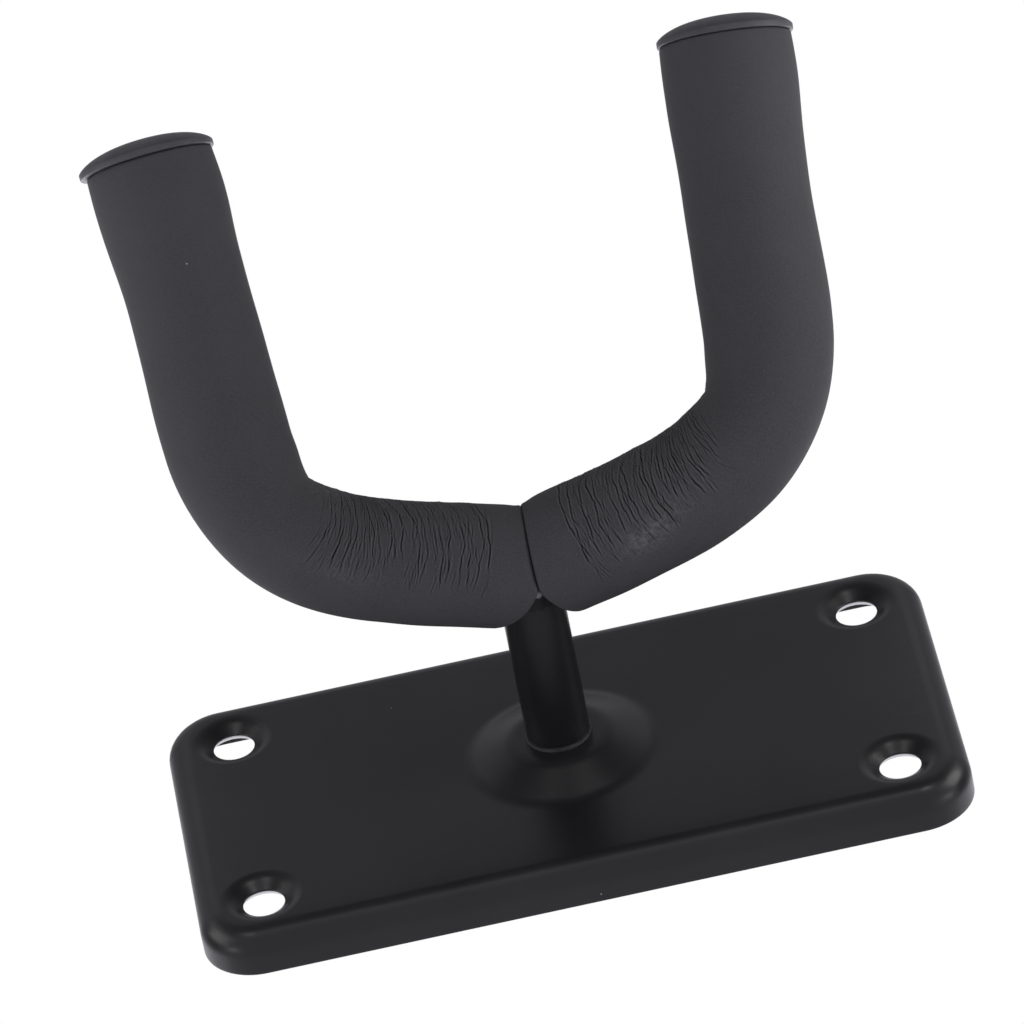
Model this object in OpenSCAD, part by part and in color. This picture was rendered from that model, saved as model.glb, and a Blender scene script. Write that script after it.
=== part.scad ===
// Wall hanger for a guitar: a pressed steel wall plate, and a padded yoke that swivels on it.
// Units are millimetres. The wall is the plane Y = 0, the hanger stands out towards -Y,
// +Z is up, and the origin is the centre of the plate's back.

/* [Wall plate] */
// Length of the plate along the wall
plate_l = 115; // [80:1:150]
// Height of the plate on the wall
plate_w = 60; // [50:1:80]
// How far the plate's face stands off the wall
plate_h = 6.75; // [6:0.25:9]
// Thickness of the pressed steel sheet
sheet = 1.5; // [1:0.1:1.8]
// Corner radius of the plate's outline
corner_r = 8.5; // [8:0.5:12]
// Outer radius of the bend between face and rim
bend_r = 3; // [2:0.25:4]

/* [Screw holes] */
// Diameter of the four wall screw holes
hole_d = 6; // [4:0.25:7]
// Distance between holes along the plate
hole_pitch_x = 95; // [60:1:95]
// Distance between holes across the plate
hole_pitch_z = 40; // [30:1:40]
// Diameter of the dimple pressed round each hole
dimple_d = 13; // [10:0.5:13]
// Depth of each dimple
dimple_depth = 1.8; // [1:0.1:2.2]

/* [Centre boss] */
// Diameter of the raised boss at its foot
boss_d = 28.4; // [24:0.2:32]
// Diameter of the flat seat on top of the boss
boss_seat_d = 12.4; // [12.2:0.2:16]
// Height of the boss above the plate's face
boss_rise = 3; // [2:0.1:4]

/* [Stem and swivel] */
// Diameter of the stem
stem_d = 9.45; // [8:0.05:11]
// Distance from the wall to the joint of stem and yoke
yoke_stand_off = 39.5; // [34:0.5:60]
// Diameter of the threaded stud below the stem
stud_d = 6; // [5:0.5:6.5]
// Radial clearance of the stud in the plate
running_gap = 0.05; // [0.02:0.01:0.1]

/* [Yoke rod] */
// Diameter of the bent rod
rod_d = 8; // [6:0.25:9]
// How far the yoke leans up from the stem's direction
yoke_tilt = 39.8; // [20:0.2:60]
// Rise of each half of the yoke's floor
floor_rise = 14.2; // [8:0.2:20]
// Outward lean of each arm
arm_splay = 3.8; // [0:0.2:8]
// Half the distance between the corners of the bent centre line
half_span = 39; // [34:0.5:46]
// Centre line radius of the two outer bends
bend_line_r = 24; // [20:0.5:28]
// Centre line radius of the shallow bend over the stem
mid_bend_r = 20; // [12:1:24]
// Height of the cap seats, measured along the yoke
arm_top = 70; // [55:0.5:90]
// Sideways offset of the yoke on the stem
yoke_shift = 1.5; // [-2:0.1:2]

/* [Foam sleeves] */
// Outer diameter of the foam
foam_d = 18.6; // [15:0.2:22]

/* [End caps] */
// Diameter of the cap's head
cap_d = 20; // [18:0.2:24]
// Height of the domed head
cap_h = 3.4; // [2.5:0.1:4.5]
// Thickness of the head at its rim
cap_rim = 0.9; // [0.5:0.1:1.2]
// Length of the socket that grips the rod
socket_l = 9; // [5:0.5:14]
// Wall thickness of the socket
socket_wall = 1.5; // [1:0.1:2]

/* [Hidden] */
$fn = 96;

// Wall plate
hole_r = hole_d / 2;
dimple_r = dimple_d / 2;
boss_r = boss_d / 2;
boss_seat_r = boss_seat_d / 2;
seat_h = plate_h + boss_rise;
side_l = plate_l - 2 * corner_r;
side_w = plate_w - 2 * corner_r;
press_steps = 12;
dimple_sweep = 110;

// Swivel stack, from the boss down to the wall
stud_r = stud_d / 2;
foot_washer_t = 0.5;
foot_washer_r = stem_d / 2 + 0.2;
rear_washer_t = 1.6;
rear_washer_r = 6;
rear_washer_bore_r = stud_r + 0.2;
spring_washer_t = 1.6;
spring_washer_r = 5.3;
spring_washer_bore_r = stud_r + 0.1;
spring_slot = 1.2;
spring_slot_lean = 20;
nut_h = 3.2;
nut_flats = 10;
nut_chamfer = 0.4;
thread_gap = 0.03;
thread_pitch = 1;
thread_depth = 0.3;
stud_chamfer = 0.6;
rear_washer_top = seat_h - sheet;
spring_washer_top = rear_washer_top - rear_washer_t;
nut_top = spring_washer_top - spring_washer_t;
stud_end = nut_top - nut_h - 0.9;
stem_foot = seat_h + foot_washer_t;

// Yoke, drawn in its own plane: X across, Y along the arms, the stem's end at the origin
rod_r = rod_d / 2;
foam_r = foam_d / 2;
corner_y = half_span * tan(floor_rise);
outer_turn = 90 - floor_rise - arm_splay;
outer_tangent = bend_line_r * tan(outer_turn / 2);
floor_l = half_span / cos(floor_rise);
mid_centre_y = mid_bend_r / cos(floor_rise);
bend_start_l = floor_l - outer_tangent;
bend_centre_x = bend_start_l * cos(floor_rise) - bend_line_r * sin(floor_rise);
bend_centre_y = bend_start_l * sin(floor_rise) + bend_line_r * cos(floor_rise);
cap_x = half_span + (arm_top - corner_y) * tan(arm_splay);
rod_stop = 0.8;
bar_sides = 32;
mid_steps = 3;
outer_steps = 12;

// Stem head and weld
stem_head = yoke_stand_off - rod_r / 2;
weld_ring_r = stem_d / 2;
weld_r = 1.6;
weld_h = stem_head - 0.7;
weld_clear = 0.2;
stem_clear_r = stem_d / 2 + 0.3;
cap_socket_r = rod_r + socket_wall;
socket_gap = 0.05;
socket_end_gap = 0.5;
socket_side_gap = 0.1;
cap_dome_h = cap_h - cap_rim;
cap_r = cap_d / 2;
cap_sphere_r = (cap_r * cap_r + cap_dome_h * cap_dome_h) / (2 * cap_dome_h);

// Height of the pressed boss above the face, at a distance from its centre
function boss_z(r) = boss_rise * (1 + cos(180 * (r - boss_seat_r) / (boss_r - boss_seat_r))) / 2;

// Depth of a pressed dimple below the face, at a distance from the hole's centre
function dimple_z(r) = -dimple_depth
    * (1 - cos(dimple_sweep * (dimple_r - r) / (dimple_r - hole_r))) / (1 - cos(dimple_sweep));

function steps(a, b) = [for (i = [0 : press_steps]) a + (b - a) * i / press_steps];

// Stations of the yoke's centre line on its right half: X, Y and the heading's angle from X
floor_stations = [for (i = [0 : mid_steps]) let (turn = floor_rise * i / mid_steps)
    [mid_bend_r * sin(turn), mid_centre_y - mid_bend_r * cos(turn), turn]];
bent_stations = concat(floor_stations, [for (i = [0 : outer_steps])
    let (turn = floor_rise + outer_turn * i / outer_steps)
    [bend_centre_x + bend_line_r * sin(turn), bend_centre_y - bend_line_r * cos(turn), turn]]);

// Station on the arm, at a distance back from the cap's seat
function arm_station(back) = [cap_x - back * sin(arm_splay), arm_top - back * cos(arm_splay),
    90 - arm_splay];

// Runs the right half's stations on from their own mirror image
function both_sides(right) = concat(
    [for (i = [len(right) - 1 : -1 : 1]) [-right[i][0], right[i][1], -right[i][2]]], right);

// Turns a plate drawn flat, face up, so that its back lies against the wall
module on_wall() {
    rotate([90, 0, 0]) children();
}

// Carries the yoke's own plane to its place on the stem
module on_stem() {
    on_wall() translate([yoke_shift, 0, yoke_stand_off]) rotate([90 - yoke_tilt, 0, 0]) children();
}

// Section through the plate's rim, X outwards from the centre of the corner radius
module rim_section() {
    difference() {
        union() {
            square([corner_r - bend_r, plate_h]);
            square([corner_r, plate_h - bend_r]);
            translate([corner_r - bend_r, plate_h - bend_r]) circle(bend_r);
        }
        translate([-1, -1]) square([corner_r - bend_r + 1, plate_h - sheet + 1]);
        translate([-1, -1]) square([corner_r - sheet + 1, plate_h - bend_r + 1]);
        translate([corner_r - bend_r, plate_h - bend_r]) circle(bend_r - sheet);
    }
}

// Straight stretch of rim along one side, outwards along +X
module rim_side(length) {
    translate([0, length / 2, 0]) rotate([90, 0, 0]) linear_extrude(length) rim_section();
}

module tray() {
    for (sx = [-1, 1], sy = [-1, 1]) {
        turn = (sx > 0) ? ((sy > 0) ? 0 : 270) : ((sy > 0) ? 90 : 180);
        translate([sx * side_l / 2, sy * side_w / 2, 0])
            rotate([0, 0, turn]) rotate_extrude(angle = 90) rim_section();
    }
    for (side = [0, 1]) {
        rotate([0, 0, 180 * side]) translate([side_l / 2, 0, 0]) rim_side(side_w);
        rotate([0, 0, 90 + 180 * side]) translate([side_w / 2, 0, 0]) rim_side(side_l);
    }
    translate([-side_l / 2, -side_w / 2, plate_h - sheet]) cube([side_l, side_w, sheet]);
}

// Pressed ring of sheet between two radii, which follows a height function's points
module pressed_ring(points) {
    upper = [for (p = points) [p[0], plate_h + p[1]]];
    lower = [for (i = [len(points) - 1 : -1 : 0]) [points[i][0], plate_h - sheet + points[i][1]]];
    rotate_extrude() polygon(concat(upper, lower));
}

module at_holes() {
    for (sx = [-1, 1], sy = [-1, 1])
        translate([sx * hole_pitch_x / 2, sy * hole_pitch_z / 2, 0]) children();
}

module wall_plate() {
    boss_points = concat(
        [[stud_r + running_gap, boss_rise]],
        [for (r = steps(boss_seat_r, boss_r)) [r, boss_z(r)]]);
    dimple_points = [for (r = steps(hole_r, dimple_r)) [r, dimple_z(r)]];
    color("#26272a") on_wall() {
        difference() {
            tray();
            cylinder(r = boss_r, h = plate_h + 1);
            at_holes() cylinder(r = dimple_r, h = plate_h + 1);
        }
        pressed_ring(boss_points);
        at_holes() pressed_ring(dimple_points);
    }
}

// Thread on the stud's end, as rings one pitch apart
module stud() {
    rings = floor((nut_top - stud_end - stud_chamfer) / thread_pitch);
    difference() {
        union() {
            translate([0, 0, stud_end + stud_chamfer])
                cylinder(r = stud_r, h = stem_foot - stud_end - stud_chamfer + 1);
            translate([0, 0, stud_end])
                cylinder(r1 = stud_r - stud_chamfer, r2 = stud_r, h = stud_chamfer);
        }
        for (i = [0 : rings - 1])
            translate([0, 0, stud_end + stud_chamfer + thread_pitch * (i + 0.5)])
                rotate_extrude() polygon([
                    [stud_r - thread_depth, 0],
                    [stud_r + 0.1, thread_depth],
                    [stud_r + 0.1, -thread_depth]]);
    }
}

// Stem with a stud at its foot and a saddle for the rod at its head
module stem() {
    edge = 0.3;
    color("#1d1e20") difference() {
        on_wall() {
            translate([0, 0, stem_foot]) cylinder(r1 = stem_d / 2 - edge, r2 = stem_d / 2, h = edge);
            translate([0, 0, stem_foot + edge])
                cylinder(d = stem_d, h = stem_head - stem_foot - edge);
            stud();
        }
        rod_floor();
    }
}

// Flat ring whose top face lies at a height above the wall
module ring(top, thickness, outer_r, bore_r) {
    translate([0, 0, top - thickness]) difference() {
        cylinder(r = outer_r, h = thickness);
        translate([0, 0, -1]) cylinder(r = bore_r, h = thickness + 2);
    }
}

module foot_washer() {
    color("#8c8d8f") on_wall()
        ring(stem_foot, foot_washer_t, foot_washer_r, stud_r + running_gap);
}

module rear_washer() {
    color("#9a9c9e") on_wall()
        ring(rear_washer_top, rear_washer_t, rear_washer_r, rear_washer_bore_r);
}

// Split spring washer, drawn as tightened down flat
module spring_washer() {
    color("#808284") on_wall() difference() {
        ring(spring_washer_top, spring_washer_t, spring_washer_r, spring_washer_bore_r);
        translate([spring_washer_r / 2, 0, spring_washer_top - spring_washer_t / 2])
            rotate([spring_slot_lean, 0, 0])
            cube([spring_washer_r + 1, spring_slot, 3 * spring_washer_t], center = true);
    }
}

// Thin hexagon nut with both its ends chamfered
module lock_nut() {
    corner = nut_flats / sqrt(3);
    color("#a3a5a7") on_wall() translate([0, 0, nut_top - nut_h]) difference() {
        intersection() {
            cylinder(r = corner, h = nut_h, $fn = 6);
            union() {
                cylinder(r1 = corner - 2 * nut_chamfer, r2 = corner, h = nut_chamfer);
                translate([0, 0, nut_chamfer]) cylinder(r = corner, h = nut_h - 2 * nut_chamfer);
                translate([0, 0, nut_h - nut_chamfer])
                    cylinder(r1 = corner, r2 = corner - 2 * nut_chamfer, h = nut_chamfer);
            }
        }
        translate([0, 0, -1]) cylinder(r = stud_r + thread_gap, h = nut_h + 2);
    }
}

// Ring of points round a station of the yoke's centre line
function ring_points(station, r) = [for (i = [0 : bar_sides - 1])
    let (out = r * cos(360 * i / bar_sides), up = r * sin(360 * i / bar_sides))
    [station[0] - out * sin(station[2]), station[1] + out * cos(station[2]), up]];

// Side faces between one ring of points and the next, for a run of rings from a first index
function side_faces(first, rings, inward) = [
    for (k = [0 : rings - 2], i = [0 : bar_sides - 1])
        let (a = first + k * bar_sides, b = a + bar_sides, j = (i + 1) % bar_sides)
        inward ? [a + j, b + j, b + i, a + i] : [a + i, b + i, b + j, a + j]];

// Solid bar of one radius along a list of stations
module bar(stations, r) {
    rings = len(stations);
    last = (rings - 1) * bar_sides;
    points = [for (s = stations) each ring_points(s, r)];
    polyhedron(points, concat(
        side_faces(0, rings, false),
        [[for (i = [0 : bar_sides - 1]) i]],
        [[for (i = [bar_sides - 1 : -1 : 0]) last + i]]));
}

// Tube along stations, whose bore widens from bore_r to end_r at the second last bore station
module tube(stations, outer_r, bore_r, end_stations, end_r) {
    bore = concat(
        [for (s = stations) each ring_points(s, bore_r)],
        [for (s = end_stations) each ring_points(s, end_r)]);
    skin_stations = concat(stations, [end_stations[1]]);
    skin = [for (s = skin_stations) each ring_points(s, outer_r)];
    skin_rings = len(skin_stations);
    bore_rings = len(stations) + len(end_stations);
    first_bore = skin_rings * bar_sides;
    last_skin = first_bore - bar_sides;
    last_bore = first_bore + (bore_rings - 1) * bar_sides;
    start_face = [for (i = [0 : bar_sides - 1]) let (j = (i + 1) % bar_sides)
        [i, j, first_bore + j, first_bore + i]];
    end_face = [for (i = [0 : bar_sides - 1]) let (j = (i + 1) % bar_sides)
        [last_skin + j, last_skin + i, last_bore + i, last_bore + j]];
    polyhedron(concat(skin, bore), concat(
        side_faces(0, skin_rings, false),
        side_faces(first_bore, bore_rings, true),
        start_face,
        end_face));
}

// Seat of the right end cap, with Z out along the arm
module at_cap() {
    translate([cap_x, arm_top, 0]) rotate([-90, 0, -arm_splay]) children();
}

// Mirrors a right-hand piece of the yoke when the side is -1
module on_side(side) {
    if (side < 0) mirror([1, 0, 0]) children();
    else children();
}

module yoke_rod() {
    right = concat(bent_stations, [arm_station(rod_stop)]);
    color("#1d1e20") on_stem() bar(both_sides(right), rod_r);
}

// The middle of the rod, to cut its seat in what it lies on
module rod_floor() {
    on_stem() bar(both_sides(concat(floor_stations, [bent_stations[mid_steps + 1]])), rod_r);
}

// Fillet of weld in the angle between the stem's end and the rod
module weld_bead() {
    color("#9b9d9f") difference() {
        on_wall() translate([0, 0, weld_h])
            rotate_extrude() translate([weld_ring_r, 0]) circle(weld_r);
        rod_floor();
        on_wall() cylinder(d = stem_d, h = stem_head);
    }
}

// Foam tube on one half of the rod, opened for the stem, the weld and the cap's socket
module foam_sleeve(side) {
    weld_box_h = 2 * (weld_r + weld_clear);
    stations = concat(bent_stations, [arm_station(socket_l + socket_end_gap)]);
    end_stations = [arm_station(socket_l + socket_end_gap), arm_station(0)];
    color("#303134") difference() {
        on_stem() on_side(side)
            tube(stations, foam_r, rod_r, end_stations, cap_socket_r + socket_side_gap);
        on_wall() translate([0, 0, seat_h]) cylinder(r = stem_clear_r, h = stem_head - seat_h);
        on_wall() translate([0, 0, weld_h - weld_box_h / 2])
            cylinder(r = weld_ring_r + weld_r + weld_clear, h = weld_box_h);
    }
}

module foam_sleeve_left() {
    foam_sleeve(-1);
}

module foam_sleeve_right() {
    foam_sleeve(1);
}

// Push-on cap with a domed head and a socket that grips the rod's end
module end_cap(side) {
    color("#222325") on_stem() on_side(side) at_cap() difference() {
        union() {
            rotate_extrude() intersection() {
                translate([0, cap_h - cap_sphere_r]) circle(cap_sphere_r);
                square([cap_r, cap_h]);
            }
            translate([0, 0, -socket_l]) cylinder(r = cap_socket_r, h = socket_l + cap_rim / 2);
        }
        translate([0, 0, -socket_l - 1])
            cylinder(r = rod_r + socket_gap, h = socket_l + 1 - rod_stop + socket_gap);
    }
}

module end_cap_left() {
    end_cap(-1);
}

module end_cap_right() {
    end_cap(1);
}

wall_plate();
stem();
foot_washer();
rear_washer();
spring_washer();
lock_nut();
yoke_rod();
weld_bead();
foam_sleeve_left();
foam_sleeve_right();
end_cap_left();
end_cap_right();
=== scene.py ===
import math

import bmesh
import bpy
import numpy as np
from mathutils import Matrix, Vector
from mathutils.geometry import delaunay_2d_cdt


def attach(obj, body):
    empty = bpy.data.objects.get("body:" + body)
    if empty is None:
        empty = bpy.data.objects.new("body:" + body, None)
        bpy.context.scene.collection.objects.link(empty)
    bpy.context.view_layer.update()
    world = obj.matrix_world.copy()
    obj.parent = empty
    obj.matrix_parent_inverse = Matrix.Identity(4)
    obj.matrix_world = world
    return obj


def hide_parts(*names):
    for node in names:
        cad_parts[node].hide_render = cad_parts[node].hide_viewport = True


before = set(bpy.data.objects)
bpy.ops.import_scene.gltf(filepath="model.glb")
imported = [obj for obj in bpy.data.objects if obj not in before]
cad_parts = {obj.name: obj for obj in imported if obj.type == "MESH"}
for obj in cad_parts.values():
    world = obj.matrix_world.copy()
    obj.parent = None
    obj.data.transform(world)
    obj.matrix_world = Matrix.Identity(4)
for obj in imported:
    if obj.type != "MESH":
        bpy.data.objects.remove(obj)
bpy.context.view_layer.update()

MM = 0.001
scene = bpy.context.scene

# ---------------------------------------------------------------- sizes, in millimetres and degrees
# Plate
PLATE_L, PLATE_W, PLATE_H = 115.0, 60.0, 6.75
SHEET = 1.5
CORNER_R, BEND_R = 8.5, 3.6
HOLE_R, DIMPLE_R, DIMPLE_DEPTH = 3.0, 6.2, 1.5
HOLE_X, HOLE_Z = 47.5, 20.0
BORE_R, SEAT_R, BOSS_R, BOSS_RISE = 3.05, 6.2, 15.0, 3.0

# Yoke, in its own plane: X across, A along the arms, N out of the plane towards the lower front
STAND_OFF, SHIFT, TILT = 39.5, 1.5, 39.8
FLOOR_RISE, ARM_SPLAY, HALF_SPAN = 14.2, 3.8, 39.0
MID_BEND_R, BEND_LINE_R, ARM_TOP = 20.0, 24.0, 70.0
ROD_R = 4.0
CAP_H, CAP_RIM = 3.3, 0.85
CAP_SHOULDER, CAP_CROWN = 2.7, 0.75  # powers that shape the head's curve


def plate_frame(x, y, z):
    """A point or direction given over the plate's face (x along, y up the wall, z out of it)."""
    return Vector((x, -z, y))


# ---------------------------------------------------------------- camera
# Angles in degrees, distances in metres, lens in millimetres on a 36 mm sensor
VIEW_AZIMUTH, VIEW_ELEVATION, VIEW_ROLL = -1.15, 34.33, -11.5
VIEW_DISTANCE = 1.4730
VIEW_AIM_RIGHT, VIEW_AIM_UP = -0.0085, 0.04035
VIEW_LENS, SENSOR_WIDTH = 350.2, 36


def view_axes():
    """Right, up and back directions of the camera."""
    angles = (VIEW_AZIMUTH, VIEW_ELEVATION, VIEW_ROLL)
    azimuth, elevation, roll = (math.radians(angle) for angle in angles)
    back = plate_frame(math.sin(azimuth) * math.cos(elevation),
                       -math.cos(azimuth) * math.cos(elevation), math.sin(elevation))
    level = (-back).cross(plate_frame(0, 0, 1)).normalized()
    steep = level.cross(-back)
    right = math.cos(roll) * level + math.sin(roll) * steep
    up = math.cos(roll) * steep - math.sin(roll) * level
    return right, up, back


def make_camera():
    right, up, back = view_axes()
    data = bpy.data.cameras.new("camera")
    data.lens, data.sensor_width = VIEW_LENS, SENSOR_WIDTH
    data.clip_start, data.clip_end = 0.05, 60
    camera = bpy.data.objects.new("camera", data)
    scene.collection.objects.link(camera)
    place = right * VIEW_AIM_RIGHT + up * VIEW_AIM_UP + back * VIEW_DISTANCE
    turn = Matrix((right, up, back)).transposed()
    camera.matrix_world = Matrix.Translation(place) @ turn.to_4x4()
    scene.camera = camera


# ---------------------------------------------------------------- floor, lights and surroundings
FLOOR_DROP, FLOOR_HALF = 1.6, 12.0


def make_floor():
    """Pale floor far under the part, for the soft light that comes back from it."""
    mesh = bpy.data.meshes.new("floor")
    corners = [(sx * FLOOR_HALF, sy * FLOOR_HALF, -FLOOR_DROP)
               for sx, sy in ((-1, -1), (1, -1), (1, 1), (-1, 1))]
    mesh.from_pydata(corners, [], [(0, 1, 2, 3)])
    floor = bpy.data.objects.new("floor", mesh)
    scene.collection.objects.link(floor)
    material, _, _, shader = new_material("floor_paint")
    shader.inputs["Base Color"].default_value = (0.8, 0.8, 0.8, 1)
    shader.inputs["Roughness"].default_value = 0.8
    mesh.materials.append(material)


def area_light(name, direction, distance, size, power, target=Vector((0, -0.045, 0.01))):
    """Square soft light that faces the target from a direction given over the plate's face."""
    data = bpy.data.lights.new(name, "AREA")
    data.shape, data.size, data.energy = "SQUARE", size, power
    light = bpy.data.objects.new(name, data)
    scene.collection.objects.link(light)
    towards = plate_frame(*direction).normalized()
    light.location = target + towards * distance
    light.rotation_mode = "QUATERNION"
    light.rotation_quaternion = towards.to_track_quat("Z", "Y")
    light.visible_camera = False


def make_surroundings(base, glows):
    """White backdrop where the camera looks; elsewhere a soft base light with wide glows.

    A glow is a direction over the plate's face, a sharpness and a strength.
    """
    world = bpy.data.worlds.new("studio")
    scene.world = world
    world.use_nodes = True
    nodes, links = world.node_tree.nodes, world.node_tree.links
    nodes.clear()
    seen, soft, mix, path, out, place = (nodes.new(kind) for kind in (
        "ShaderNodeBackground", "ShaderNodeBackground", "ShaderNodeMixShader",
        "ShaderNodeLightPath", "ShaderNodeOutputWorld", "ShaderNodeTexCoord"))
    total = base
    for direction, sharpness, strength in glows:
        facing = nodes.new("ShaderNodeVectorMath")
        facing.operation = "DOT_PRODUCT"
        links.new(place.outputs["Generated"], facing.inputs[0])
        facing.inputs[1].default_value = plate_frame(*direction).normalized()
        held = math_node(nodes, links, "MAXIMUM", facing.outputs["Value"], 0.0)
        lobe = math_node(nodes, links, "POWER", held, sharpness)
        glow = math_node(nodes, links, "MULTIPLY", lobe, strength)
        total = math_node(nodes, links, "ADD", glow, total)
    seen.inputs["Color"].default_value = (1, 1, 1, 1)
    seen.inputs["Strength"].default_value = 1.0
    soft.inputs["Color"].default_value = (0.935, 0.93, 1.0, 1)
    links.new(total, soft.inputs["Strength"])
    links.new(path.outputs["Is Camera Ray"], mix.inputs["Fac"])
    links.new(soft.outputs["Background"], mix.inputs[1])
    links.new(seen.outputs["Background"], mix.inputs[2])
    links.new(mix.outputs["Shader"], out.inputs["Surface"])


# ---------------------------------------------------------------- materials
def new_material(name):
    """Empty material with a shader; gives the material, its nodes and links, and the shader."""
    material = bpy.data.materials.new(name)
    material.use_nodes = True
    nodes, links = material.node_tree.nodes, material.node_tree.links
    nodes.clear()
    shader = nodes.new("ShaderNodeBsdfPrincipled")
    out = nodes.new("ShaderNodeOutputMaterial")
    links.new(shader.outputs["BSDF"], out.inputs["Surface"])
    return material, nodes, links, shader


def noise(nodes, links, scale, detail=2.0, rough=0.5):
    """Noise texture in object space; scale counts features in a metre."""
    node = nodes.new("ShaderNodeTexNoise")
    node.inputs["Scale"].default_value = scale
    node.inputs["Detail"].default_value = detail
    node.inputs["Roughness"].default_value = rough
    links.new(nodes.new("ShaderNodeTexCoord").outputs["Object"], node.inputs["Vector"])
    return node.outputs["Fac"]


def ramp(nodes, links, value, low, high, out_low, out_high):
    """Maps a value from one range to another, held at both ends."""
    node = nodes.new("ShaderNodeMapRange")
    for socket, number in zip(("From Min", "From Max", "To Min", "To Max"),
                              (low, high, out_low, out_high)):
        node.inputs[socket].default_value = number
    links.new(value, node.inputs["Value"])
    return node.outputs["Result"]


def math_node(nodes, links, operation, first, second):
    """One sum on two values; each is a number or a socket."""
    node = nodes.new("ShaderNodeMath")
    node.operation = operation
    for socket, value in zip(node.inputs, (first, second)):
        if isinstance(value, (int, float)):
            socket.default_value = value
        else:
            links.new(value, socket)
    return node.outputs["Value"]


def mix_colour(nodes, links, factor, dark, light):
    """Goes from the first colour to the second; each is three numbers or a socket."""
    node = nodes.new("ShaderNodeMix")
    node.data_type = "RGBA"
    links.new(factor, node.inputs["Factor"])
    for name, colour in (("A", dark), ("B", light)):
        socket = [s for s in node.inputs if s.name == name and s.type == "RGBA"][0]
        if isinstance(colour, tuple):
            socket.default_value = (*colour, 1)
        else:
            links.new(colour, socket)
    return [s for s in node.outputs if s.type == "RGBA"][0]


def bump(nodes, links, shader, layers):
    """Chains bumps; each layer is a height and its distance in metres."""
    normal = None
    for height, distance in layers:
        node = nodes.new("ShaderNodeBump")
        node.inputs["Distance"].default_value = distance
        node.inputs["Strength"].default_value = 1.0
        links.new(height, node.inputs["Height"])
        if normal is not None:
            links.new(normal, node.inputs["Normal"])
        normal = node.outputs["Normal"]
    links.new(normal, shader.inputs["Normal"])


def dust(nodes, links, spacing, size, share):
    """Factor that is 1 on sparse round specks.

    Spacing is the cell's size in metres, size the speck's radius as a part of it, and share the
    part of the cells that hold one.
    """
    node = nodes.new("ShaderNodeTexVoronoi")
    node.inputs["Scale"].default_value = 1 / spacing
    links.new(nodes.new("ShaderNodeTexCoord").outputs["Object"], node.inputs["Vector"])
    core = size * 0.55
    near = ramp(nodes, links, node.outputs["Distance"], size, core, 0, 1)
    split = nodes.new("ShaderNodeSeparateColor")
    links.new(node.outputs["Color"], split.inputs["Color"])
    chosen = math_node(nodes, links, "LESS_THAN", split.outputs["Red"], share)
    return math_node(nodes, links, "MULTIPLY", near, chosen)


def powder_coat(name, shine=0.5, bare_spot=None):
    """Satin black powder coat.

    A bare spot is a place in metres where the steel shows, and its radius.
    """
    material, nodes, links, shader = new_material(name)
    cloudy = noise(nodes, links, 60, 3)
    base = mix_colour(nodes, links, ramp(nodes, links, cloudy, 0.3, 0.7, 0, 1),
                      (0.0085, 0.0086, 0.0095), (0.0125, 0.0126, 0.0138))
    specks = dust(nodes, links, 0.008, 0.018, 0.14)
    colour = mix_colour(nodes, links, specks, base, (0.42, 0.42, 0.43))
    rough = ramp(nodes, links, noise(nodes, links, 130, 4), 0.3, 0.7, 0.31, 0.36)
    if bare_spot:
        place, radius = bare_spot
        away = nodes.new("ShaderNodeVectorMath")
        away.operation = "DISTANCE"
        links.new(nodes.new("ShaderNodeTexCoord").outputs["Object"], away.inputs[0])
        away.inputs[1].default_value = place
        ragged = ramp(nodes, links, noise(nodes, links, 2500, 3), 0.3, 0.7,
                      0.75 * radius, 1.25 * radius)
        reach = math_node(nodes, links, "DIVIDE", away.outputs["Value"], ragged)
        bare = ramp(nodes, links, reach, 0.8, 1.15, 1, 0)
        colour = mix_colour(nodes, links, bare, colour, (0.20, 0.20, 0.215))
        links.new(bare, shader.inputs["Metallic"])
    links.new(colour, shader.inputs["Base Color"])
    links.new(rough, shader.inputs["Roughness"])
    shader.inputs["IOR"].default_value = 1.5
    shader.inputs["Specular IOR Level"].default_value = shine
    peel = noise(nodes, links, 1300, 2)
    grain = noise(nodes, links, 5200, 2)
    bump(nodes, links, shader, ((peel, 0.000012), (grain, 0.000005)))
    return material


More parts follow.
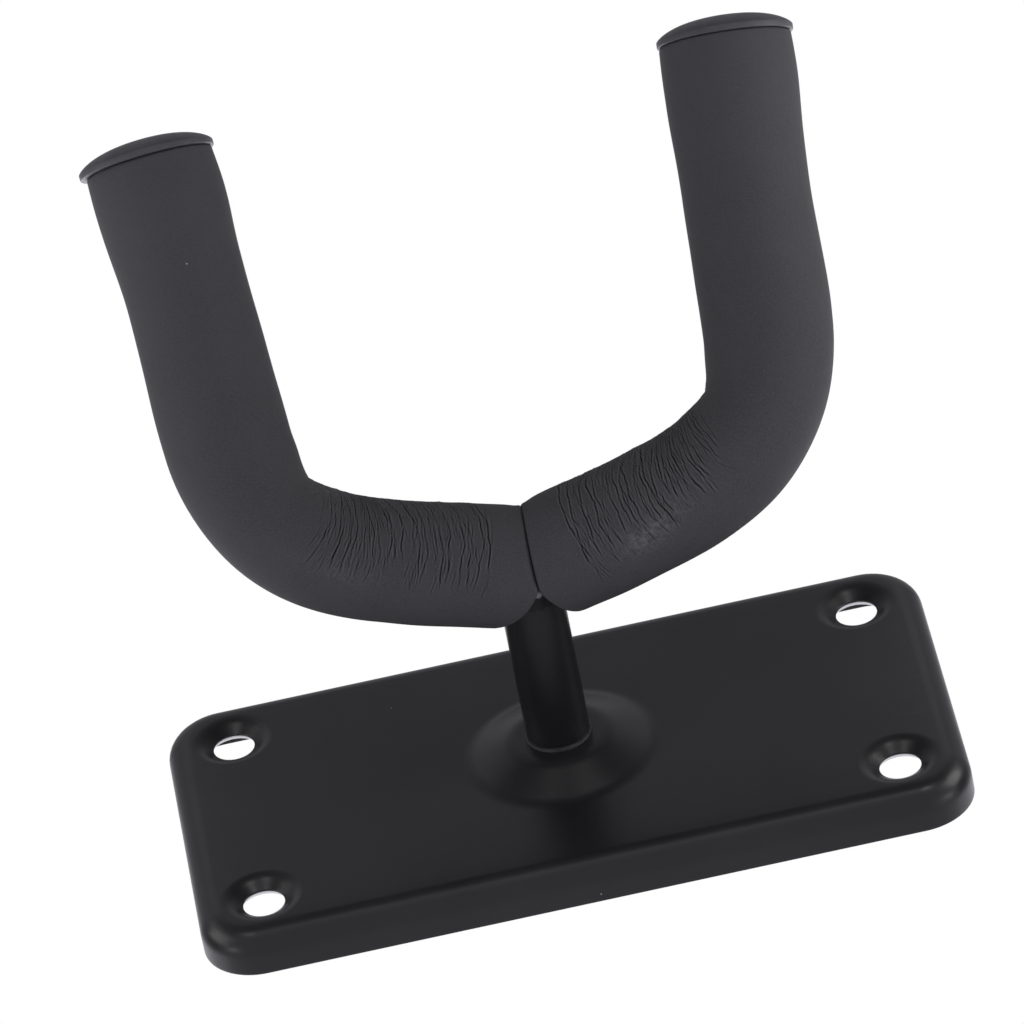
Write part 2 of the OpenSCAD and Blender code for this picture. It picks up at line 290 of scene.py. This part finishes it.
def foam():
    """Matt black foam, painted lighter towards the caps as painted light, chalky where rubbed, with
    painted shade in its wrinkles and a painted highlight on their lips.
    """
    material, nodes, links, shader = new_material("black_foam")
    cloudy = noise(nodes, links, 130, 4, 0.6)
    fine = noise(nodes, links, 4300, 3, 0.65)
    base = mix_colour(nodes, links, ramp(nodes, links, cloudy, 0.3, 0.7, 0, 1),
                      (0.0440, 0.0440, 0.0475), (0.0540, 0.0538, 0.0575))
    grained = mix_colour(nodes, links, ramp(nodes, links, fine, 0.36, 0.68, 0, 1),
                         base, (0.072, 0.0715, 0.0765))
    # Painted light: the foam's colour is made lighter towards the caps, standing in for brighter
    # light on the arms' tops.
    place = nodes.new("ShaderNodeSeparateXYZ")
    links.new(nodes.new("ShaderNodeTexCoord").outputs["Object"], place.inputs[0])
    painted_light_towards_caps = ramp(nodes, links, place.outputs["Y"], -0.062, -0.095, 0, 0.3)
    grained = mix_colour(nodes, links, painted_light_towards_caps, grained, (0.085, 0.084, 0.090))
    rubbed = nodes.new("ShaderNodeAttribute")
    rubbed.attribute_name = "rubbed"
    streaks = ramp(nodes, links, noise(nodes, links, 1500, 4, 0.7), 0.40, 0.62, 0.0, 1)
    chalk = math_node(nodes, links, "MULTIPLY", rubbed.outputs["Fac"], streaks)
    worn = mix_colour(nodes, links, chalk, grained, (0.20, 0.197, 0.20))
    # Painted shade and highlight: the wrinkles' heights darken the colour in the cracks as painted
    # shade and lighten it on their lips as a painted highlight.
    relief = nodes.new("ShaderNodeAttribute")
    relief.attribute_name = "relief"
    lips = ramp(nodes, links, relief.outputs["Fac"], 0.01, 0.07, 0, 0.6)
    with_painted_lip_highlight = mix_colour(nodes, links, lips, worn, (0.115, 0.114, 0.119))
    painted_crack_shade_mask = ramp(nodes, links, relief.outputs["Fac"], -0.02, -0.14, 0, 0.95)
    with_painted_crack_shade = mix_colour(nodes, links, painted_crack_shade_mask, with_painted_lip_highlight, (0.008, 0.008, 0.010))
    specks = dust(nodes, links, 0.0065, 0.020, 0.16)
    dusty = mix_colour(nodes, links, specks, with_painted_crack_shade, (0.55, 0.55, 0.56))
    links.new(dusty, shader.inputs["Base Color"])
    links.new(ramp(nodes, links, fine, 0.3, 0.7, 0.72, 0.86), shader.inputs["Roughness"])
    shader.inputs["IOR"].default_value = 1.45
    shader.inputs["Specular IOR Level"].default_value = 0.35
    pores = noise(nodes, links, 5200, 2)
    soft = noise(nodes, links, 900, 3)
    bump(nodes, links, shader, ((soft, 0.00006), (pores, 0.000022)))
    return material


def cap_plastic():
    """Satin dark grey plastic of the end caps."""
    material, nodes, links, shader = new_material("black_cap_plastic")
    cloudy = noise(nodes, links, 200, 3)
    base = mix_colour(nodes, links, ramp(nodes, links, cloudy, 0.3, 0.7, 0, 1),
                      (0.058, 0.058, 0.064), (0.074, 0.074, 0.081))
    specks = dust(nodes, links, 0.004, 0.02, 0.12)
    links.new(mix_colour(nodes, links, specks, base, (0.4, 0.4, 0.41)), shader.inputs["Base Color"])
    links.new(ramp(nodes, links, noise(nodes, links, 900, 3), 0.3, 0.7, 0.48, 0.6),
              shader.inputs["Roughness"])
    bump(nodes, links, shader, ((noise(nodes, links, 2400, 3), 0.000012),))
    return material


def bare_metal(name, dark, light, rough, scale):
    """Plated or bare steel: metallic, with fine marks and a patchy finish."""
    material, nodes, links, shader = new_material(name)
    patchy = ramp(nodes, links, noise(nodes, links, scale, 4, 0.6), 0.35, 0.65, 0, 1)
    links.new(mix_colour(nodes, links, patchy, dark, light), shader.inputs["Base Color"])
    shader.inputs["Metallic"].default_value = 1.0
    links.new(ramp(nodes, links, noise(nodes, links, scale * 4, 3), 0.3, 0.7, rough, rough + 0.14),
              shader.inputs["Roughness"])
    bump(nodes, links, shader, ((noise(nodes, links, scale * 8, 3), 0.00001),))
    return material


def nylon():
    """Dark grey nylon of the foot washer."""
    material, nodes, links, shader = new_material("grey_nylon")
    cloudy = ramp(nodes, links, noise(nodes, links, 500, 3), 0.3, 0.7, 0, 1)
    links.new(mix_colour(nodes, links, cloudy, (0.04, 0.04, 0.044), (0.07, 0.07, 0.074)),
              shader.inputs["Base Color"])
    links.new(ramp(nodes, links, noise(nodes, links, 2000, 2), 0.3, 0.7, 0.38, 0.5),
              shader.inputs["Roughness"])
    bump(nodes, links, shader, ((noise(nodes, links, 3000, 2), 0.000008),))
    return material


# ---------------------------------------------------------------- mesh helpers
def new_piece(name, points, faces, material, body, replaced):
    """A mesh piece from points in millimetres in the row frame."""
    mesh = bpy.data.meshes.new(name)
    mesh.from_pydata([tuple(p) for p in np.asarray(points) * MM], [], faces)
    mesh.validate()
    mesh.polygons.foreach_set("use_smooth", [True] * len(mesh.polygons))
    mesh.materials.append(material)
    piece = bpy.data.objects.new(name, mesh)
    scene.collection.objects.link(piece)
    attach(piece, body)
    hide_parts(replaced)
    return piece


def ring_faces(rings, count):
    """Quads between closed rings of points, ring after ring."""
    return [(r * count + c, r * count + (c + 1) % count,
             (r + 1) * count + (c + 1) % count, (r + 1) * count + c)
            for r in range(rings - 1) for c in range(count)]


def apply_modifiers(piece):
    """Puts the modified mesh in place of the first one."""
    graph = bpy.context.evaluated_depsgraph_get()
    mesh = bpy.data.meshes.new_from_object(piece.evaluated_get(graph))
    old = piece.data
    piece.modifiers.clear()
    piece.data = mesh
    bpy.data.meshes.remove(old)


def smoothstep(x):
    """Soft step from 0 at 0 to 1 at 1."""
    x = np.clip(x, 0.0, 1.0)
    return x * x * (3 - 2 * x)


# ---------------------------------------------------------------- wall plate
def boss_height(r):
    """Straight slope down from the stem's seat to the face, eased by parabolas at both ends."""
    u = np.clip((BOSS_R - r) / (BOSS_R - SEAT_R), 0, 1)
    ease = 0.25
    foot = u ** 2 / (2 * ease)
    head = 1 - ease - (1 - u) ** 2 / (2 * ease)
    rise = np.where(u < ease, foot, np.where(u > 1 - ease, head, u - ease / 2))
    return BOSS_RISE * rise / (1 - ease)


def dimple_height(r):
    """Cone down to the hole, eased into the face by a soft rim."""
    u = np.clip((DIMPLE_R - r) / (DIMPLE_R - HOLE_R), 0, 1)
    rim = 0.6
    eased = np.where(u < rim, u ** 2 / (2 * rim), u - rim / 2)
    return -DIMPLE_DEPTH * eased / (1 - rim / 2)


def outline(offset, per_corner=14, step=4.0):
    """Rounded rectangle round the flat face, moved outwards, as x and z in a closed loop."""
    radius = CORNER_R - BEND_R + offset
    cx, cz = PLATE_L / 2 - CORNER_R, PLATE_W / 2 - CORNER_R
    points = []
    corners = ((1, 1, cx), (-1, 1, cz), (-1, -1, cx), (1, -1, cz))
    for quarter, (sx, sz, half_side) in enumerate(corners):
        for i in range(per_corner + 1):
            angle = math.radians(90 * quarter + 90 * i / per_corner)
            points.append((sx * cx + radius * math.cos(angle), sz * cz + radius * math.sin(angle)))
        count = int(2 * half_side / step)
        start = np.array(points[-1])
        heading = math.radians(90 * (quarter + 1) + 90)
        along = np.array([math.cos(heading), math.sin(heading)])
        for i in range(1, count):
            points.append(tuple(start + along * (2 * half_side * i / count)))
    return np.array(points)


def circle(cx, cz, radius, count):
    """Points of a circle, as x and z."""
    angles = np.arange(count) * 2 * math.pi / count
    return np.c_[cx + radius * np.cos(angles), cz + radius * np.sin(angles)]


def raised_ring(ring, height):
    """A ring given as x and z, at a height above the wall, as points in the row frame."""
    return np.c_[ring[:, 0], np.full(len(ring), -height), ring[:, 1]]


def revolved(cx, cz, radii, heights, count):
    """Rings of a pressed feature, as points in the row frame."""
    return np.vstack([raised_ring(circle(cx, cz, radius, count), height)
                      for radius, height in zip(radii, heights)])


def make_plate(material):
    """Pressed tray: bent rim, boss, four dimples and the flat face between them, made thick."""
    points, faces = [], []

    def add(new_points, new_faces):
        """Adds a patch of skin; its edges are merged with the others' at the end."""
        base = sum(len(p) for p in points)
        points.append(np.asarray(new_points))
        faces.extend(tuple(base + i for i in f) for f in new_faces)

    rim = outline(0)
    loops = []
    bend_steps = 10
    for i in range(bend_steps + 1):
        angle = math.radians(90 * i / bend_steps)
        height = PLATE_H - BEND_R * (1 - math.cos(angle))
        loops.append(raised_ring(outline(BEND_R * math.sin(angle)), height))
    flange = outline(BEND_R)
    flange_loops = 5
    for height in np.linspace(PLATE_H - BEND_R, 0, flange_loops)[1:]:
        loops.append(raised_ring(flange, height))
    add(np.vstack(loops), ring_faces(len(loops), len(rim)))

    boss_slope_rings, boss_count = 26, 120
    boss_radii = np.r_[BORE_R, 4.0, 5.0, np.linspace(SEAT_R, BOSS_R, boss_slope_rings)]
    add(revolved(0, 0, boss_radii, PLATE_H + boss_height(boss_radii), boss_count),
        ring_faces(len(boss_radii), boss_count))
    dimple_rings, dimple_count = 18, 72
    dimple_radii = np.linspace(HOLE_R, DIMPLE_R, dimple_rings)
    holes = [(sx * HOLE_X, sz * HOLE_Z) for sx in (-1, 1) for sz in (-1, 1)]
    for cx, cz in holes:
        add(revolved(cx, cz, dimple_radii, PLATE_H + dimple_height(dimple_radii), dimple_count),
            ring_faces(len(dimple_radii), dimple_count))

    rings = [rim, circle(0, 0, BOSS_R, boss_count)]
    rings += [circle(cx, cz, DIMPLE_R, dimple_count) for cx, cz in holes]
    flat, edges = [], []
    for ring in rings:
        base = len(flat)
        flat.extend(ring.tolist())
        edges.extend((base + i, base + (i + 1) % len(ring)) for i in range(len(ring)))
    # Middle and radius of each pressed feature, and the gap kept clear of inner points round it
    pressed = [(0, 0, BOSS_R, 1.5)] + [(cx, cz, DIMPLE_R, 1.0) for cx, cz in holes]

    def on_flat(x, z, use_gap):
        """Whether a place lies outside every pressed feature, and its gap where asked."""
        return all(math.hypot(x - cx, z - cz) > radius + gap * use_gap
                   for cx, cz, radius, gap in pressed)

    spacing, margin = 3.2, 6
    for x in np.arange(-PLATE_L / 2 + margin, PLATE_L / 2 - margin + 1, spacing):
        for z in np.arange(-PLATE_W / 2 + margin, PLATE_W / 2 - margin + 1, spacing):
            if on_flat(x, z, True):
                flat.append((x, z))
    made = delaunay_2d_cdt([Vector(p) for p in flat], edges, [], 1, 1e-5)
    flat_points = np.array([tuple(v) for v in made[0]])
    flat_faces = [tuple(face) for face in made[2]
                  if on_flat(*flat_points[list(face)].mean(0), False)]
    add(raised_ring(flat_points, PLATE_H), flat_faces)

    plate = new_piece("pressed_wall_plate", np.vstack(points), faces, material,
                      "plate", "wall_plate")
    work = bmesh.new()
    work.from_mesh(plate.data)
    bmesh.ops.remove_doubles(work, verts=work.verts, dist=0.004 * MM)
    bmesh.ops.recalc_face_normals(work, faces=work.faces)
    top = max(work.faces, key=lambda f: f.calc_area())
    if top.normal.y > 0:
        bmesh.ops.reverse_faces(work, faces=work.faces)
    work.to_mesh(plate.data)
    work.free()
    thick = plate.modifiers.new("sheet", "SOLIDIFY")
    thick.thickness, thick.offset = SHEET * MM, -1
    thick.use_even_offset = True
    edge = plate.modifiers.new("edges", "BEVEL")
    edge.width, edge.segments = 0.22 * MM, 3
    edge.limit_method, edge.angle_limit = "ANGLE", math.radians(50)
    normals = plate.modifiers.new("normals", "WEIGHTED_NORMAL")
    normals.keep_sharp = False
    apply_modifiers(plate)


# ---------------------------------------------------------------- yoke's centre line
TURN = math.radians(90 - FLOOR_RISE - ARM_SPLAY)
RISE, SPLAY, LEAN = (math.radians(v) for v in (FLOOR_RISE, ARM_SPLAY, TILT))
MID_L = MID_BEND_R * RISE
FLOOR_END = HALF_SPAN / math.cos(RISE) - BEND_LINE_R * math.tan(TURN / 2)
STRAIGHT_L = FLOOR_END - MID_BEND_R * math.tan(RISE)
BEND_L = BEND_LINE_R * TURN
CORNER_A = HALF_SPAN * math.tan(RISE)
ARM_L = (ARM_TOP - CORNER_A) / math.cos(SPLAY) - BEND_LINE_R * math.tan(TURN / 2)
PATH_L = MID_L + STRAIGHT_L + BEND_L + ARM_L


def centre_line(s):
    """X, A and heading of the right half's centre line at distances s from the middle."""
    s = np.asarray(s, float)
    turned = np.clip(s, 0, MID_L) / MID_BEND_R
    bent = np.clip(s - MID_L - STRAIGHT_L, 0, BEND_L) / BEND_LINE_R
    straight = np.clip(s - MID_L, 0, STRAIGHT_L)
    arm = np.clip(s - MID_L - STRAIGHT_L - BEND_L, 0, None)
    heading = turned + bent
    x = MID_BEND_R * np.sin(turned) + straight * math.cos(RISE)
    a = MID_BEND_R * (1 / math.cos(RISE) - np.cos(turned)) + straight * math.sin(RISE)
    x = x + BEND_LINE_R * (np.sin(RISE + bent) - math.sin(RISE)) + arm * math.sin(SPLAY)
    a = a + BEND_LINE_R * (math.cos(RISE) - np.cos(RISE + bent)) + arm * math.cos(SPLAY)
    early = np.minimum(s, 0)
    return x + early, a, heading


def yoke_point(side, x, a, n):
    """Points of the yoke's plane in the row frame, in millimetres."""
    x, a, n = np.broadcast_arrays(x, a, n)
    return np.stack([side * x + SHIFT,
                     -STAND_OFF - a * math.cos(LEAN) - n * math.sin(LEAN),
                     a * math.sin(LEAN) - n * math.cos(LEAN)], -1)


# ---------------------------------------------------------------- foam sleeves
# Distances run along the rod from the yoke's middle. Angles run round the tube from the bend's
# inside, towards the lower front first.
AROUND = 160
FINE_STEP, COARSE_STEP = 0.09, 0.5
FINE_TO = 41.0
WRINKLED_FROM, WRINKLED_TO = 6.0, 36.0
# Crease inside the bend: a broad hollow with a sharp fold in its middle
CREASE_AT, CREASE_DEPTH, CREASE_SPREAD = 40.2, 0.95, 5.4
FOLD_DEPTH, FOLD_SPREAD = 0.28, 1.3
NOTCH_AT = 123.0
TOP_LIP, LEFT_SIDE_LIP, RIGHT_SIDE_LIP, NOTCH_LIP = 0.7, 1.2, 0.35, 0.3
CAP_LIP = 0.45


def bumps(s, *parts):
    """Sum of soft bumps along the sleeve, each with a centre, a half width and a height."""
    return sum(height * np.exp(-((s - centre) / width) ** 2) for centre, width, height in parts)


# The four curves give the foam's radius along the inside and the outside of each bend
def left_inside(s):
    return (9.05 + 0.4 * smoothstep((s - 38) / 12)
            + bumps(s, (1, 2.5, -0.3), (25.5, 5, 0.28), (89.5, 7, 0.55)))


def left_outside(s):
    return 9.1 + bumps(s, (26, 6.5, -0.48), (56, 6, 0.25), (75, 9, -0.38), (89.5, 7, 0.25))


def right_inside(s):
    return (9.1 + 0.1 * smoothstep((s - 38) / 12)
            + bumps(s, (0, 2.2, -0.32), (5, 6, 0.38), (24, 5, 0.25), (88, 8, 0.33)))


def right_outside(s):
    return (9.1 + 0.45 * smoothstep((s - 30) / 16)
            + bumps(s, (3, 5, -0.4), (26.5, 5, -0.3), (58, 9, 0.55), (91, 10, 0.78)))


def sleeve_radius(s, phi, inside, outside):
    """Radius of the foam's skin at distance s along the rod and angle phi round the tube."""
    radius = (inside(s) + outside(s)) / 2 + (inside(s) - outside(s)) / 2 * np.cos(phi)
    away = np.abs(s - CREASE_AT)
    crease = CREASE_DEPTH * np.exp(-(away / CREASE_SPREAD) ** 2)
    crease = crease + FOLD_DEPTH * np.exp(-away / FOLD_SPREAD)
    return radius - crease * np.clip(np.cos(phi), 0, 1) ** 1.3


def end_edge(side, phi):
    """Where a sleeve's end lies, from the middle of the yoke: shut on top, split round the stem."""
    degrees = np.degrees(phi) % 360
    meeting = side * (0.12 * np.sin(3 * phi) - 0.4)
    opening, widest = (4.2, 4.3) if side > 0 else (5.1, 6.0)
    front = opening * np.clip((degrees - NOTCH_AT) / 62, 0, 1) ** 1.1
    front = front + (widest - opening) * smoothstep((degrees - 182) / 16)
    back = widest * (1 - smoothstep((degrees - 244) / 22))
    return meeting + np.where(degrees < 215, front, back)


def ripple(rng, t, waves, size):
    """Smooth random curve: a few sines with random phases."""
    total = np.zeros_like(t, dtype=float)
    for wave in waves:
        phase = rng.uniform(0, 2 * math.pi)
        total += np.sin(2 * math.pi * t / wave + phase) * rng.uniform(0.6, 1.0)
    return size * total / len(waves)


def add_crack(field, rng, s, phi, face, start, span, width, depth):
    """Sinks one wrinkle that runs round the tube between two angles, with a lip on both sides."""
    low, high = span
    crest, spread = 84, 58
    first, last = np.searchsorted(s[:, 0], (start - 4, start + 13))
    part = slice(first, last)
    degrees = np.degrees(face * phi[part]) % 360
    degrees = np.where(degrees > 260, degrees - 360, degrees)
    bow = 1.5 + 0.06 * start + rng.normal(0, 0.3)
    path = start + bow * ((degrees - crest) / spread) ** 2
    path = path + (degrees - 70) * rng.normal(0, 0.007)
    path = path + ripple(rng, degrees, (31, 53, 110), 0.38)
    path = path + ripple(rng, degrees, (6, 9, 14), 0.10)
    across = (s[part] - path) / width
    fade = smoothstep((degrees - low) / 16) * smoothstep((high - degrees) / 16)
    vary = 0.75 + ripple(rng, degrees, (17, 31, 58), 0.4)
    lips = 0.5 * np.exp(-((np.abs(across) - 2.0) / 1.1) ** 2)
    field[part] += depth * fade * vary * (lips - np.exp(-across ** 2))


def wrinkle_field(rng, s, phi, pitch, reach, shorter, deep):
    """Height of the wrinkles all over a sleeve: long ones side by side, and finer ones between.

    Pitch is the mean distance between the long ones, reach the angle they run round to, shorter
    how much of it they lose towards the bend, and deep a factor on their depth.
    """
    long_width, fine_width = 0.10, 0.09
    fine_count, bend_count = 420, 50
    field = np.zeros_like(s)
    for face in (1, -1):
        start = WRINKLED_FROM + 0.6
        while start < WRINKLED_TO - 3:
            packed = (start - WRINKLED_FROM) / (WRINKLED_TO - WRINKLED_FROM)
            low = rng.uniform(-8, 26)
            high = reach - shorter * packed + rng.uniform(-18, 12)
            split = rng.uniform(50, 100)
            depth = deep * rng.uniform(0.16, 0.34) * (1 - 0.4 * packed)
            if rng.random() < 0.55:
                spans = ((low, split + 9), (split - 9, high))
            else:
                spans = ((low, high),)
            for span in spans:
                place = start + rng.normal(0, 0.2)
                add_crack(field, rng, s, phi, face, place, span, long_width, depth)
            start += pitch * (1.25 - 0.7 * packed) * rng.uniform(0.65, 1.35)
        for _ in range(fine_count):
            start = rng.uniform(WRINKLED_FROM, WRINKLED_TO - 4)
            packed = (start - WRINKLED_FROM) / (WRINKLED_TO - WRINKLED_FROM)
            mid, half = rng.uniform(4, reach - shorter * packed), rng.uniform(7, 20)
            depth = deep * rng.uniform(0.06, 0.19)
            add_crack(field, rng, s, phi, face, start, (mid - half, mid + half), fine_width, depth)
        for _ in range(bend_count):
            mid, half = rng.uniform(0, 45), rng.uniform(14, 30)
            start = rng.uniform(WRINKLED_TO - 14, WRINKLED_TO - 2)
            depth = rng.uniform(0.05, 0.12)
            add_crack(field, rng, s, phi, face, start, (mid - half, mid + half), fine_width, depth)
    return field


def rounding(distance, lip):
    """How far a skin turns in near its edge, as a quarter circle of radius lip."""
    near = np.clip(1 - distance / lip, 0, 1)
    return lip * (1 - np.sqrt(1 - near ** 2))


def seam_lip(side, phi):
    """Radius of the rounded edge at the seam: one on top, one at the sides, one in the notch."""
    from_inside = np.degrees(np.minimum(phi, 2 * math.pi - phi))
    from_top = 1 - smoothstep((from_inside - 12) / 35)
    side_lip = RIGHT_SIDE_LIP if side > 0 else LEFT_SIDE_LIP
    lip = side_lip * (1 - from_top) + TOP_LIP * from_top
    return lip + (NOTCH_LIP - lip) * smoothstep((from_inside - 108) / 20)


def make_sleeve(name, side, seed, inside, outside, folds, rubbed_spots, material, replaced):
    """One foam tube, from the seam over the stem to its cap; side is 1 on the right.

    Folds are the four values of the wrinkles. A rubbed spot is a distance along the rod, an angle
    round the tube, its half length, its half width in degrees and its strength.
    """
    rng = np.random.default_rng(seed)
    # Close rows at both ends for the rounded edges, and fine rows as far as the wrinkles go
    stations = np.r_[np.linspace(0, 1, 11)[:-1], np.linspace(1, 5, 14)[:-1],
                     np.arange(5, FINE_TO, FINE_STEP), np.arange(FINE_TO, PATH_L - 2, COARSE_STEP),
                     np.linspace(PATH_L - 1.6, PATH_L - 0.4, 5),
                     np.linspace(PATH_L - 0.3, PATH_L, 6)]
    phi = np.arange(AROUND) * 2 * math.pi / AROUND
    s_grid, phi_grid = np.meshgrid(stations, phi, indexing="ij")
    s_real = s_grid + end_edge(side, phi_grid) * (1 - smoothstep(s_grid / 16))
    radius = sleeve_radius(s_real, phi_grid, inside, outside)
    radius = radius + ripple(rng, s_real + phi_grid * 2, (23, 37, 11), 0.05)
    radius = radius - rounding(s_grid, seam_lip(side, phi_grid))
    radius = radius - rounding(PATH_L - s_real, CAP_LIP) * 0.9
    wrinkles = wrinkle_field(rng, s_real, phi_grid, *folds)
    radius = radius + wrinkles
    x, a, heading = centre_line(s_real)
    out = radius * np.cos(phi_grid)
    up = radius * np.sin(phi_grid)
    skin = yoke_point(side, x - out * np.sin(heading), a + out * np.cos(heading), up)

    def end_rows(s_end, outer, steps=6):
        """Rings that close an end in to the rod."""
        made = []
        inner = ROD_R + 0.1
        ex, ea, eh = centre_line(s_end)
        for i in range(1, steps + 1):
            r = outer + (inner - outer) * i / steps
            made.append(yoke_point(side, ex - r * np.cos(phi) * np.sin(eh),
                                   ea + r * np.cos(phi) * np.cos(eh), r * np.sin(phi)))
        return made

    first = end_rows(s_real[0], radius[0])[::-1]
    last = end_rows(s_real[-1], radius[-1])
    rows = first + list(skin) + last
    faces = ring_faces(len(rows), AROUND)
    if side > 0:
        faces = [f[::-1] for f in faces]
    sleeve = new_piece(name, np.vstack(rows), faces, material, "yoke", replaced)
    on_skin = slice(len(first), len(first) + len(skin))
    # The wrinkles' heights go on the points as relief, for the foam's painted shade in the cracks
    # and painted highlight on their lips.
    heights = np.zeros((len(rows), AROUND))
    heights[on_skin] = wrinkles
    rubbed = np.zeros((len(rows), AROUND))
    for place, angle, long, wide, strength in rubbed_spots:
        near = ((s_real - place) / long) ** 2 + ((np.degrees(phi_grid) - angle) / wide) ** 2
        rubbed[on_skin] += strength * np.exp(-near)
    for label, values in (("relief", heights), ("rubbed", rubbed)):
        layer = sleeve.data.attributes.new(label, "FLOAT", "POINT")
        layer.data.foreach_set("value", values.ravel())


# ---------------------------------------------------------------- end caps
def cap_profile(radius):
    """Radius and height of the cap's head, from the middle of its top to its seat on the foam."""
    angles = np.linspace(0, math.pi / 2, 40)
    out = radius * np.sin(angles) ** (2 / CAP_SHOULDER)
    high = CAP_RIM + (CAP_H - CAP_RIM) * np.abs(np.cos(angles)) ** (2 * CAP_CROWN)
    # Inset from the rim, and height: round the lower edge, then in under the head
    under = ((0, 0.2), (0.03, 0.09), (0.09, 0.02), (0.18, 0), (0.9, 0), (radius - ROD_R - 1.5, 0))
    return list(zip(out, high)) + [(radius - inset, height) for inset, height in under]


def make_cap(name, side, radius, outward, material, replaced):
    """Domed cap on a sleeve's end, moved away from the other cap by outward."""
    count = 96
    x0, a0, heading = (float(v) for v in centre_line(PATH_L))
    x0 += outward * math.sin(heading)
    a0 -= outward * math.cos(heading)
    angles = np.arange(count) * 2 * math.pi / count
    rows = []
    for r, h in cap_profile(radius)[1:]:
        x = x0 + h * math.cos(heading) - r * np.cos(angles) * math.sin(heading)
        a = a0 + h * math.sin(heading) + r * np.cos(angles) * math.cos(heading)
        rows.append(yoke_point(side, x, a, r * np.sin(angles)))
    faces = ring_faces(len(rows), count)
    faces.append(tuple(range(count))[::-1])
    faces.append(tuple((len(rows) - 1) * count + i for i in range(count)))
    if side < 0:
        faces = [f[::-1] for f in faces]
    new_piece(name, np.vstack(rows), faces, material, "yoke", replaced)


# ---------------------------------------------------------------- weld
def make_weld(material):
    """Lumpy fillet of weld round the stem's head, from the stem's side up to the rod.

    The profile gives the fillet's radius about the stem at heights above the wall.
    """
    rng = np.random.default_rng(5)
    profile = ((4.20, 33.8), (4.50, 34.0), (4.66, 34.6), (4.72, 35.3), (4.77, 36.0),
               (4.84, 36.7), (4.91, 37.3), (4.97, 37.9), (4.90, 38.4), (4.65, 38.8),
               (4.20, 39.0), (3.60, 39.2), (3.30, 38.6), (3.60, 36.0))
    count, bead_count = 120, 11
    angles = np.arange(count) * 2 * math.pi / count
    beads = 0.07 * np.abs(np.sin(angles * bead_count + 0.8 * np.sin(angles * 3)))
    beads = beads + ripple(rng, angles, (6.283, 2.094, 0.785), 0.05)
    rows = []
    for i, (radius, height) in enumerate(profile):
        swell = radius + beads * math.sin(math.pi * i / len(profile))
        ring = np.c_[swell * np.cos(angles), swell * np.sin(angles)]
        rows.append(raised_ring(ring, height))
    faces = ring_faces(len(profile), count)
    last = (len(profile) - 1) * count
    faces += [(last + c, last + (c + 1) % count, (c + 1) % count, c) for c in range(count)]
    new_piece("weld_fillet", np.vstack(rows), faces, material,
              "yoke", "weld_bead")


# ---------------------------------------------------------------- carried-over CAD nodes
def finish_node(name, material):
    """Gives a CAD node its material."""
    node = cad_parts[name]
    node.data.materials.clear()
    node.data.materials.append(material)


# ---------------------------------------------------------------- the scene
make_camera()
make_floor()
make_surroundings(0.05, (
    ((0, 1, 0), 1.6, 0.41),
    ((0, 0, -1), 3, 4.8),
    ((0, -0.95, -0.1), 2, 0.25),
))
# Direction over the plate's face, distance and size in metres, power in watts, and a target
area_light("low_right", (1, -0.8, -0.1), 0.8, 0.5, 0.2)
area_light("high_right", (0.252, -0.11, 0.963), 1.6, 0.12, 1.4)
area_light("high_left", (-0.252, -0.11, 0.963), 1.6, 0.12, 1.1)
area_light("front_right", (0.8, -0.54, -0.05), 0.45, 0.1, 0.08)
area_light("front_left", (-0.8, -0.54, -0.05), 0.45, 0.1, 0.08)
area_light("side_right", (1, 0.3, 0.5), 0.3, 0.15, 0.035)
area_light("side_left", (-1, 0.4, 0.5), 0.3, 0.15, 0.04)
area_light("end_right", (1, -0.1, 0.25), 0.19, 0.1, 0.09)
area_light("end_left", (-1, -0.1, 0.15), 0.19, 0.1, 0.06)
area_light("back_right", (0, 0.83, 0.56), 0.09, 0.042, 0.0014, plate_frame(0.080, 0, 0.005))
area_light("back_left", (0, 0.83, 0.56), 0.09, 0.042, 0.0012, plate_frame(-0.078, 0, 0.005))

coat = powder_coat("black_powder_coat")
soft_black = foam()
black_plastic = cap_plastic()
zinc = bare_metal("zinc_plate", (0.42, 0.43, 0.45), (0.60, 0.60, 0.60), 0.28, 700)
stem_coat = powder_coat("stem_powder_coat", 0.36)
weld = powder_coat("coated_weld", 0.3, (Vector((0.0010, -0.0382, -0.0053)), 0.0009))

make_plate(coat)
# Side, seed of the wrinkles, the two radius curves, the wrinkles' four values, the rubbed spots
make_sleeve("foam_left", -1, 11, left_inside, left_outside, (1.3, 120, 14, 1.0),
            ((34, 22, 5, 22, 0.4), (27, 112, 6, 10, 0.15)),
            soft_black, "foam_sleeve_left")
make_sleeve("foam_right", 1, 23, right_inside, right_outside, (1.0, 134, 42, 1.15),
            ((15.5, 116, 4, 12, 0.45), (20, 104, 4, 12, 0.3)),
            soft_black, "foam_sleeve_right")
make_cap("cap_left", -1, 10.15, 0.0, black_plastic, "end_cap_left")
make_cap("cap_right", 1, 10.1, 0.5, black_plastic, "end_cap_right")
for node in ("stem", "yoke_rod"):
    finish_node(node, stem_coat)
for node in ("rear_washer", "spring_washer", "lock_nut"):
    finish_node(node, zinc)
make_weld(weld)
finish_node("foot_washer", nylon())

scene.view_settings.view_transform = "Standard"
